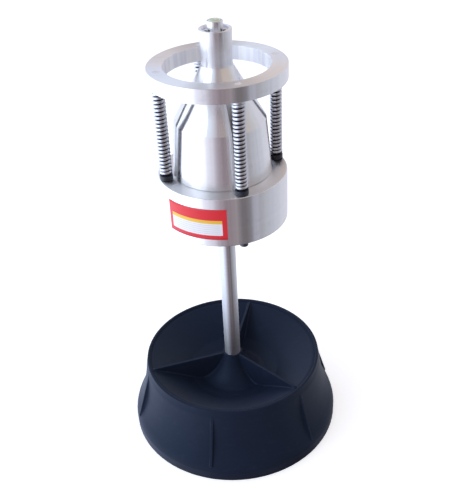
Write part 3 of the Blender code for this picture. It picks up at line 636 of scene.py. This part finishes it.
def cone_grid(line):
    """Turns the line, and sinks a flat-bottomed slot into each quarter of it.

    Across a slot a point lies at the lesser of the slot's floor and the turned surface. Beside
    the slot a straight bevel drops two thirds of its width, down to where the wall begins.
    """
    steps = np.array((0, 1.2, 2.2, 2.45, 2.499, 2.5, 2.53, 3.8, 5.05, 5.1, 5.15, 5.4, 6.0, 7.0)) / 1000
    steps = np.concatenate([-steps[:0:-1], steps])
    radius = line[:, :1]
    across = np.minimum(np.abs(steps), radius * 0.9999)
    skin = np.sqrt(radius ** 2 - across ** 2)
    fall = np.clip(SLOT_HALF + SLOT_EDGE - np.abs(steps), 0, SLOT_EDGE) * SLOT_FALL
    floor = np.minimum(skin, SLOT_FLOOR)
    deep = np.where(np.abs(steps) < SLOT_HALF - 0.0000005, floor, np.maximum(floor, skin - fall))
    swing = np.arctan2(np.sign(steps) * across, deep)
    reach = np.hypot(across, deep)
    last = np.arcsin(np.clip(steps[-1] / np.maximum(radius, LEAST_RADIUS), 0, WIDEST_SWING))
    spare = np.linspace(0, 1, CONE_COLUMNS)[1:-1]
    arc = last + (math.pi / 2 - 2 * last) * spare
    plain = radius < PLAIN_RADIUS
    even = last * (steps / steps[-1])
    swing = np.where(plain, even, swing)
    reach = np.where(plain, radius, reach)
    swing = np.hstack([swing, arc])
    reach = np.hstack([reach, radius + 0 * arc])
    quarters = SPRING_BEARING + math.pi / 2 * np.arange(4)
    angle = (quarters[None, :, None] + swing[:, None]).reshape(len(line), -1)
    reach = np.tile(reach, 4)
    return np.stack([reach * np.cos(angle), reach * np.sin(angle), line[:, 1:] + 0 * angle], -1)


def band(tree, value, low, high):
    """Gives one where the value lies between low and high, and nought elsewhere."""
    return math_node(tree, "MULTIPLY", math_node(tree, "GREATER_THAN", value, low),
                     math_node(tree, "LESS_THAN", value, high))


def spring_offsets(tree, parts):
    """Gives the lesser and the greater distance from the two upright planes that hold the springs."""
    sides = []
    for bearing in (SPRING_BEARING, SPRING_BEARING + math.pi / 2):
        terms = (math_node(tree, "MULTIPLY", parts[0], -math.sin(bearing)),
                 math_node(tree, "MULTIPLY", parts[1], math.cos(bearing)))
        sides.append(math_node(tree, "ABSOLUTE", math_node(tree, "ADD", *terms)))
    return math_node(tree, "MINIMUM", *sides), math_node(tree, "MAXIMUM", *sides)


outer = rounded(((0.0297, 0.3433, 0), (0.0525, 0.3433, 0.0004), (0.0475, 0.400, 0.0012),
                 (0.0156, 0.457, 0.0045), (0.0157, 0.470, 0.0500), (0.01645, 0.4915, 0.0005),
                 (0.0130, 0.4915, 0.0003), (0.0130, 0.484, 0.0002), (0.0083, 0.484, 0),
                 (0.0083, 0.476, 0), (0.012, 0.476, 0), (0.012, 0.440, 0),
                 (0.0188, 0.3333, 0), (0.0297, 0.3333, 0.0005)))
cone = surface("cone", cone_grid(closer(outer, 0.0015)), edge=32)

aluminium, tree, shader, place = finish("turned aluminium", 1)
rings = use_group(tree, turning, place, ALUMINIUM_RINGS)
worn = use_group(tree, handling, place)
parts = split_xyz(tree, place)
facing = split_xyz(tree, node(tree, "ShaderNodeNewGeometry").outputs["Normal"])
flat = math_node(tree, "GREATER_THAN", facing[2], FACING_UP)
inward = math_node(tree, "ADD", math_node(tree, "MULTIPLY", facing[0], parts[0]),
                   math_node(tree, "MULTIPLY", facing[1], parts[1]))
bored_out = math_node(tree, "LESS_THAN", inward, -BORE_RADIUS)
beside = spring_offsets(tree, parts)[0]
milled = math_node(tree, "MULTIPLY", math_node(tree, "LESS_THAN", beside, SLOT_HALF + 0.0001),
                   band(tree, parts[2], MILLED_LOW, MILLED_HIGH))
near_slot = math_node(tree, "MULTIPLY", smooth_step(tree, beside, BESIDE_FAR, BESIDE_NEAR),
                      band(tree, parts[2], BESIDE_LOW, BESIDE_HIGH))
mouth = math_node(tree, "MULTIPLY", math_node(tree, "GREATER_THAN", parts[2], MOUTH_LOW),
                  band(tree, diagonal(tree, parts[0], parts[1]), MOUTH_INNER, MOUTH_OUTER))
# Each mask adds to the roughness, and the strongest one takes its share of the metal away.
haze = 0.16
dull = 0
for mask, rougher, duller in (
        (worn[0], 0.04, 0), (rings[0], 0.05, 0), (flat, 0.17, 0), (bored_out, 0.26, 0.6),
        (milled, 0.30, 0.35), (near_slot, 0.14, 0.4), (mouth, 0, 0.95)):
    haze = math_node(tree, "ADD", haze, math_node(tree, "MULTIPLY", mask, rougher))
    dull = math_node(tree, "MAXIMUM", dull, math_node(tree, "MULTIPLY", mask, duller))
link(tree, haze, shader.inputs["Roughness"])
link(tree, math_node(tree, "SUBTRACT", 1.0, dull), shader.inputs["Metallic"])
tone = mix_colour(tree, rings[1], (0.79, 0.785, 0.79), (0.83, 0.82, 0.83))
tone = mix_colour(tree, math_node(tree, "MULTIPLY", worn[1], 0.2), tone, (0.62, 0.61, 0.63))
# In bores and in the neck's mouth the colour turns to pale and lavender upright streaks: painted reflection
# bands, and painted light that lifts these hollows.
drawn = noise(tree, stretched(tree, place, (170, 170, 4)), 1, 2)
painted_reflection_streaks = mix_colour(tree, ramp(tree, drawn, ((0.40, 0.0), (0.60, 1.0))), (0.86, 0.86, 0.93), (1.0, 1.0, 1.0))
tone = mix_colour(tree, math_node(tree, "MAXIMUM", mouth, bored_out), tone, painted_reflection_streaks)
link(tree, tone, shader.inputs["Base Color"])
grained(tree, shader)
link(tree, bump(tree, rings[0], 0.00004, 0.15), shader.inputs["Normal"])
cone.data.materials.append(aluminium)
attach(cone, "head")
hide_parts("hub_cone")

# Block
# A thick aluminium disc, turned and faced, that is screwed to the cone from below. The guide rods
# slide in four holes right through it.
BLOCK_RADIUS = 0.0685
BLOCK_LOW = 0.288
BLOCK_HIGH = 0.343
BORE_TOP = 0.0189
BORE_FOOT = 0.022
PLUG_RADIUS = 0.0302
PLUG_FLOOR = 0.3327
GUIDE_HOLE = 0.0038
SCREW_HOLE = 0.0033
POCKET_RADIUS = 0.0053
POCKET_TOP = 0.2948
HOLE_LOW = 0.28
HOLE_HIGH = 0.35
SPRING_CIRCLE = 0.0612
SCREW_BEARING = math.radians(-28)
SCREW_CIRCLE = 0.041


def ring_of(bearing, circle, count=4):
    """Lists evenly spaced centres on a circle about the post's axis."""
    angles = [bearing + i * math.tau / count for i in range(count)]
    return [(circle * math.cos(angle), circle * math.sin(angle)) for angle in angles]


def bored(piece, holes, sides=40):
    """Cuts upright holes, each a centre, a radius, a low and a high end, and keeps the result."""
    cutters = []
    for centre, radius, low, high in holes:
        line = np.array(((0, low), (radius, low), (radius, high), (0, high)))
        cutter = lathe("hole", line, sides, centre)
        change = piece.modifiers.new("hole", "BOOLEAN")
        change.solver = "EXACT"
        change.object = cutter
        cutters.append(cutter)
    graph = bpy.context.evaluated_depsgraph_get()
    mesh = bpy.data.meshes.new_from_object(piece.evaluated_get(graph))
    piece.modifiers.clear()
    piece.data = mesh
    mesh.name = piece.name
    mesh.materials.clear()
    mesh.shade_smooth()
    mesh.set_sharp_from_angle(angle=math.radians(32))
    for cutter in cutters:
        bpy.data.objects.remove(cutter)
    return piece


spring_places = ring_of(SPRING_BEARING, SPRING_CIRCLE)
screw_places = ring_of(SCREW_BEARING, SCREW_CIRCLE)
line = rounded(((PLUG_RADIUS, BLOCK_HIGH, 0.0002), (PLUG_RADIUS, PLUG_FLOOR, 0),
                (BORE_TOP, PLUG_FLOOR, 0), (BORE_FOOT, BLOCK_LOW, 0.0008),
                (BLOCK_RADIUS, BLOCK_LOW, 0.0011), (BLOCK_RADIUS, BLOCK_HIGH, 0.0011)))
block = lathe("block", line, 144, edge=32)
holes = [(centre, GUIDE_HOLE, HOLE_LOW, HOLE_HIGH) for centre in spring_places]
holes += [(centre, SCREW_HOLE, HOLE_LOW, HOLE_HIGH) for centre in screw_places]
holes += [(centre, POCKET_RADIUS, HOLE_LOW, POCKET_TOP) for centre in screw_places]
block = bored(block, holes)
block.data.materials.append(aluminium)
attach(block, "head")
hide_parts("flange_block")

# Label
# A printed sticker on the front of the block, left plain: a red frame with a deep top band, a
# yellow strip and a white field with thin grey rules. Its drawing is laid out in millimetres from
# its lower left corner.
LABEL_LEFT = math.radians(-145.4)
LABEL_RIGHT = math.radians(-88.7)
LABEL_LOW = 0.2966
LABEL_HIGH = 0.3315
LABEL_GAP = 0.00008
LABEL_THICK = 0.00014
LABEL_WIDTH = (LABEL_RIGHT - LABEL_LEFT) * BLOCK_RADIUS * 1000
FRAME_LEFT = 4.6
FRAME_RIGHT = 5.0
FIELD_LOW = 5.0
STRIP_LOW = 18.6
STRIP_HIGH = 22.4
RULES_LEFT = 7.0
RULES_RIGHT = 7.4
RULES_LOW = 6.2
RULES_HIGH = 17.4
RULE_EVERY = 2.4
RULE_WIDTH = 0.5
RULE_SHIFT = 0.4

across = np.linspace(LABEL_LEFT, LABEL_RIGHT, 60)
upward = np.linspace(LABEL_LOW, LABEL_HIGH, 12)[:, None]
shell = BLOCK_RADIUS + LABEL_GAP
front = np.stack([(shell + LABEL_THICK) * np.cos(across) + 0 * upward,
                  (shell + LABEL_THICK) * np.sin(across) + 0 * upward, upward + 0 * across], -1)
behind = front * (shell / (shell + LABEL_THICK), shell / (shell + LABEL_THICK), 1)
grid = np.concatenate([front, behind[:, ::-1]], axis=1)
label = surface("label", grid, closed=False)
shape = bmesh.new()
shape.from_mesh(label.data)
bmesh.ops.holes_fill(shape, edges=[edge for edge in shape.edges if edge.is_boundary], sides=0)
bmesh.ops.recalc_face_normals(shape, faces=shape.faces)
shape.to_mesh(label.data)
shape.free()
sticker, tree, shader, place = finish("printed sticker", 0)
parts = split_xyz(tree, place)
bearing = math_node(tree, "ARCTAN2", parts[1], parts[0])
along = math_node(tree, "MULTIPLY", math_node(tree, "SUBTRACT", bearing, LABEL_LEFT), BLOCK_RADIUS * 1000)
upper = math_node(tree, "MULTIPLY", math_node(tree, "SUBTRACT", parts[2], LABEL_LOW), 1000)
inner = band(tree, along, FRAME_LEFT, LABEL_WIDTH - FRAME_RIGHT)
field = math_node(tree, "MULTIPLY", inner, band(tree, upper, FIELD_LOW, STRIP_LOW))
strip = math_node(tree, "MULTIPLY", inner, band(tree, upper, STRIP_LOW, STRIP_HIGH))
rules = math_node(tree, "MODULO", math_node(tree, "ADD", upper, RULE_SHIFT), RULE_EVERY)
rules = math_node(tree, "LESS_THAN", rules, RULE_WIDTH)
rules = math_node(tree, "MULTIPLY", rules, band(tree, along, RULES_LEFT, LABEL_WIDTH - RULES_RIGHT))
rules = math_node(tree, "MULTIPLY", rules, band(tree, upper, RULES_LOW, RULES_HIGH))
ink = mix_colour(tree, field, (0.80, 0.020, 0.032), (0.93, 0.92, 0.95))
ink = mix_colour(tree, math_node(tree, "MULTIPLY", rules, 0.45), ink, (0.42, 0.42, 0.50))
ink = mix_colour(tree, strip, ink, (0.95, 0.58, 0.06))
link(tree, ink, shader.inputs["Base Color"])
gloss = noise(tree, place, 160, 3)
link(tree, math_node(tree, "ADD", math_node(tree, "MULTIPLY", gloss, 0.12), 0.30), shader.inputs["Roughness"])
link(tree, bump(tree, gloss, 0.00003, 0.4), shader.inputs["Normal"])
label.data.materials.append(sticker)
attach(label, "head")

# Ring
# The flat aluminium ring that the wheel lies on. It is faced on both sides, and the rods end
# flush in its top.
RING_INNER = 0.0535
RING_OUTER = 0.070
RING_LOW = 0.4425
RING_HIGH = 0.4575
ROD_HOLE = 0.00354

line = rounded(((RING_INNER, RING_HIGH, 0.0006), (RING_INNER, RING_LOW, 0.0004),
                (RING_OUTER, RING_LOW, 0.0004), (RING_OUTER, RING_HIGH, 0.0006)))
ring = lathe("ring", line, 144, edge=32)
ring = bored(ring, [(centre, ROD_HOLE, 0.44, 0.46) for centre in spring_places])
ring.data.materials.append(aluminium)
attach(ring, "ring")
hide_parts("support_ring")

# Guide rods
# Blackened steel rods, fast in the ring and free in the block, each with a head below that stops
# the ring from lifting off. Their top ends are faced off bright with the ring.
ROD_RADIUS = 0.0035
ROD_TOP = 0.45742
FACED_FROM = 0.4573
HEAD_RADIUS = 0.0045
HEAD_HIGH = 0.28765
HEAD_LOW = 0.2827

black_rod, tree, shader, place, tone = worn_finish(
    "blackened rod", 1, ((0.075, 0.080, 0.095), (0.115, 0.120, 0.140)), (0.22, 0.2), (1800, 2, 0.00003, 0.4))
faced = math_node(tree, "GREATER_THAN", split_xyz(tree, place)[2], FACED_FROM)
link(tree, mix_colour(tree, faced, tone, (0.75, 0.74, 0.75)), shader.inputs["Base Color"])
line = rounded(((0, ROD_TOP, 0), (ROD_RADIUS, ROD_TOP, 0.0002), (ROD_RADIUS, HEAD_HIGH, 0.0001),
                (HEAD_RADIUS, HEAD_HIGH, 0.0004), (HEAD_RADIUS, HEAD_LOW, 0.0006), (0, HEAD_LOW, 0)),
               4, 0.0001)
for number, centre in enumerate(spring_places, 1):
    guide = lathe(f"rod_{number}", line, 40, centre)
    guide.data.materials.append(black_rod)
    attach(guide, "ring")
    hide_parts(f"guide_rod_{number}")

# Spring collars
# Short black plastic collars that keep the foot of each spring off the block.
COLLAR_INNER = 0.0038
COLLAR_OUTER = 0.0068
COLLAR_LOW = 0.3433
COLLAR_HIGH = 0.3483

black_nylon = worn_finish(
    "black nylon", 0, ((0.008, 0.010, 0.018), (0.016, 0.020, 0.034)), (0.28, 0.2), (1500, 2, 0.00006, 0.5))[0]
line = rounded(((COLLAR_INNER, COLLAR_HIGH, 0.0003), (COLLAR_INNER, COLLAR_LOW, 0),
                (COLLAR_OUTER, COLLAR_LOW, 0.0003), (COLLAR_OUTER, COLLAR_HIGH, 0.0006)), 4, 0.0001)
for number, centre in enumerate(spring_places, 1):
    collar = lathe(f"collar_{number}", line, 48, centre)
    collar.data.materials.append(black_nylon)
    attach(collar, "head")
    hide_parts(f"spring_seat_{number}")

# Springs
# Hard drawn steel wire, wound in twenty-three turns between collar and ring, the end turns closed.
# The wire's colour is darkened on the inner side of the coil: a painted shade, for the little light that
# comes there.
WIRE = 0.00148
WIRE_SIDES = 12
COIL = 0.00517
TURNS = 23
STEPS_A_TURN = 22
COIL_LOW = 0.3502
COIL_HIGH = 0.4409
END_PITCH = 0.0026


def coil(centre):
    """Sweeps a round wire along a helix; the tube's rings lie across the wire's direction.

    The angle grows evenly, and the height by the closed pitch in the first and last turn and by
    the open pitch between. Both ends close on one point.
    """
    turn = np.linspace(0, TURNS, TURNS * STEPS_A_TURN + 1)
    opened = np.clip(turn - 1, 0, TURNS - 2)
    pitch = (COIL_HIGH - COIL_LOW - 2 * END_PITCH) / (TURNS - 2)
    height = COIL_LOW + opened * pitch + (turn - opened) * END_PITCH
    angle = turn * math.tau
    out = np.stack([np.cos(angle), np.sin(angle), 0 * angle], -1)
    path = out * COIL + np.stack([0 * angle + centre[0], 0 * angle + centre[1], height], -1)
    along = np.gradient(path, axis=0)
    along /= np.linalg.norm(along, axis=1)[:, None]
    up = np.cross(along, out)
    round_wire = np.arange(WIRE_SIDES) * math.tau / WIRE_SIDES
    tube = (path[:, None] + out[:, None] * (WIRE * np.cos(round_wire))[None, :, None]
            + up[:, None] * (WIRE * np.sin(round_wire))[None, :, None])
    start = np.repeat(path[:1, None], WIRE_SIDES, axis=1)
    end = np.repeat(path[-1:, None], WIRE_SIDES, axis=1)
    return np.concatenate([start, tube, end])


wire_steel, tree, shader, place, tone = worn_finish(
    "spring wire", 1, ((0.54, 0.55, 0.59), (0.68, 0.69, 0.73)), (0.14, 0.2), (2200, 2, 0.00003, 0.3))
lesser, greater = spring_offsets(tree, split_xyz(tree, place))
from_middle = diagonal(tree, lesser, math_node(tree, "SUBTRACT", greater, SPRING_CIRCLE))
# Painted shade: the side of the wire that faces the coil's axis takes a dark colour.
inner = math_node(tree, "LESS_THAN", from_middle, COIL - 0.0002)
link(tree, mix_colour(tree, inner, tone, (0.13, 0.14, 0.17)), shader.inputs["Base Color"])
for number, centre in enumerate(spring_places, 1):
    spring = surface(f"coil_{number}", coil(centre), closed=False, edge=60)
    spring.data.materials.append(wire_steel)
    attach(spring, "head")
    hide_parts(f"spring_{number}")
    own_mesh(spring)

# Vial and its holder
# A bright turned stub stands in the open top of the neck. A round glass level with a pale lip lies
# in its cup, filled with green spirit that leaves one bubble.
STUB_RADIUS = 0.008
STUB_TOP = 0.499
FLANGE_RADIUS = 0.0127
FLANGE_TOP = 0.4891
HOLDER_FOOT = 0.4843
SEAT_RADIUS = 0.0066
SEAT_FLOOR = 0.4906
VIAL_RADIUS = 0.0063
VIAL_FOOT = 0.4909
LIP_RADIUS = 0.0047
BUBBLE_RADIUS = 0.0017
BUBBLE_EDGE = 0.0020
BUBBLE_SHIFT = 0.0009

line = rounded(((0, SEAT_FLOOR, 0), (SEAT_RADIUS, SEAT_FLOOR, 0), (SEAT_RADIUS, STUB_TOP, 0.0002),
                (STUB_RADIUS, STUB_TOP, 0.0004), (STUB_RADIUS, FLANGE_TOP, 0.0003),
                (FLANGE_RADIUS, FLANGE_TOP, 0.0003), (FLANGE_RADIUS, HOLDER_FOOT, 0), (0, HOLDER_FOOT, 0)),
               4, 0.0001)
holder = lathe("vial_cup", line, 64)
holder.data.materials.append(aluminium)
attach(holder, "head")
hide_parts("vial_holder")

line = rounded(((VIAL_RADIUS, VIAL_FOOT, 0.0003), (VIAL_RADIUS, 0.4989, 0.0006),
                (0.0050, 0.49955, 0.0002), (0.0046, 0.4994, 0.0002), (0.0030, 0.49968, 0),
                (0, 0.4998, 0), (0, VIAL_FOOT, 0)), 4, 0.00005)
vial = lathe("bubble_vial", line, 64)
green_glass, tree, shader, place = finish("green glass vial", 0)
parts = split_xyz(tree, place)
from_bubble = diagonal(tree, math_node(tree, "ADD", parts[0], -BUBBLE_SHIFT), parts[1])
lip = math_node(tree, "GREATER_THAN", diagonal(tree, parts[0], parts[1]), LIP_RADIUS)
bubble = math_node(tree, "LESS_THAN", from_bubble, BUBBLE_RADIUS)
edge_mark = math_node(tree, "MULTIPLY", band(tree, from_bubble, BUBBLE_RADIUS, BUBBLE_EDGE), 0.7)
spirit = mix_colour(tree, noise(tree, place, 300, 2), (0.36, 0.46, 0.22), (0.46, 0.56, 0.30))
for mask, colour in ((lip, (0.66, 0.70, 0.58)), (bubble, (0.62, 0.70, 0.46)),
                     (edge_mark, (0.12, 0.17, 0.06))):
    spirit = mix_colour(tree, mask, spirit, colour)
link(tree, spirit, shader.inputs["Base Color"])
link(tree, math_node(tree, "ADD", math_node(tree, "MULTIPLY", noise(tree, place, 500, 2), 0.06), 0.03),
     shader.inputs["Roughness"])
shader.inputs["Coat Weight"].default_value = 0.6
shader.inputs["Coat Roughness"].default_value = 0.03
vial.data.materials.append(green_glass)
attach(vial, "head")
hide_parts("vial")

# Screws
# Small black levelling screws hold the vial's cup. Socket screws hold block and cone together, and
# are seen only from below.
CUP_SCREW_BEARING = math.radians(-30)
CUP_SCREW_CIRCLE = 0.0104

black_oxide = worn_finish(
    "black oxide steel", 1, ((0.035, 0.034, 0.040), (0.075, 0.070, 0.080)), (0.25, 0.2),
    (2500, 2, 0.00004, 0.4))[0]


def socketed(name, line, centre, across, low, high, sides):
    """Turns a screw and sinks a six-sided socket into its head."""
    screw = bored(lathe(name, line, sides, centre), [(centre, across, low, high)], 6)
    screw.data.materials.append(black_oxide)
    return screw


line = rounded(((0, 0.4908, 0), (0.0019, 0.4908, 0.0003), (0.0019, 0.4894, 0.0001), (0.001, 0.4894, 0),
                (0.001, 0.478, 0.0002), (0, 0.478, 0)), 4, 0.00003)
for number, centre in enumerate(ring_of(CUP_SCREW_BEARING, CUP_SCREW_CIRCLE, 3), 1):
    screw = socketed(f"cup_screw_{number}", line, centre, 0.0009, 0.4900, 0.4913, 32)
    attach(screw, "head")
    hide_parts(f"level_screw_{number}")
line = rounded(((0, 0.356, 0), (0.003, 0.356, 0.0004), (0.003, 0.2945, 0.0001), (0.005, 0.2945, 0.0003),
                (0.005, 0.2885, 0.0006), (0, 0.2885, 0)), 4, 0.0001)
for number, centre in enumerate(screw_places, 1):
    screw = socketed(f"block_screw_{number}", line, centre, 0.0029, 0.286, 0.2915, 40)
    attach(screw, "head")
    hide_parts(f"hub_screw_{number}")

# Pivot, bolt and washer
# The ball, its cup and its seat are hidden in the neck, the bolt and washer under the base. They keep
# their plain solids, with a ground and a zinc plated finish.
ground = worn_finish(
    "ground hard steel", 1, ((0.34, 0.34, 0.36), (0.48, 0.48, 0.50)), (0.10, 0.15),
    (1800, 2, 0.00001, 0.2))[0]
zinc = worn_finish(
    "zinc plated steel", 1, ((0.46, 0.46, 0.42), (0.62, 0.62, 0.60)), (0.25, 0.2),
    (1200, 2, 0.00005, 0.4))[0]
for name, coating in (("pivot_cup", ground), ("pivot_ball", ground), ("pivot_seat", ground),
                      ("post_bolt", zinc), ("post_washer", zinc)):
    part = bpy.data.objects[name]
    for slot in part.material_slots:
        slot.material = coating
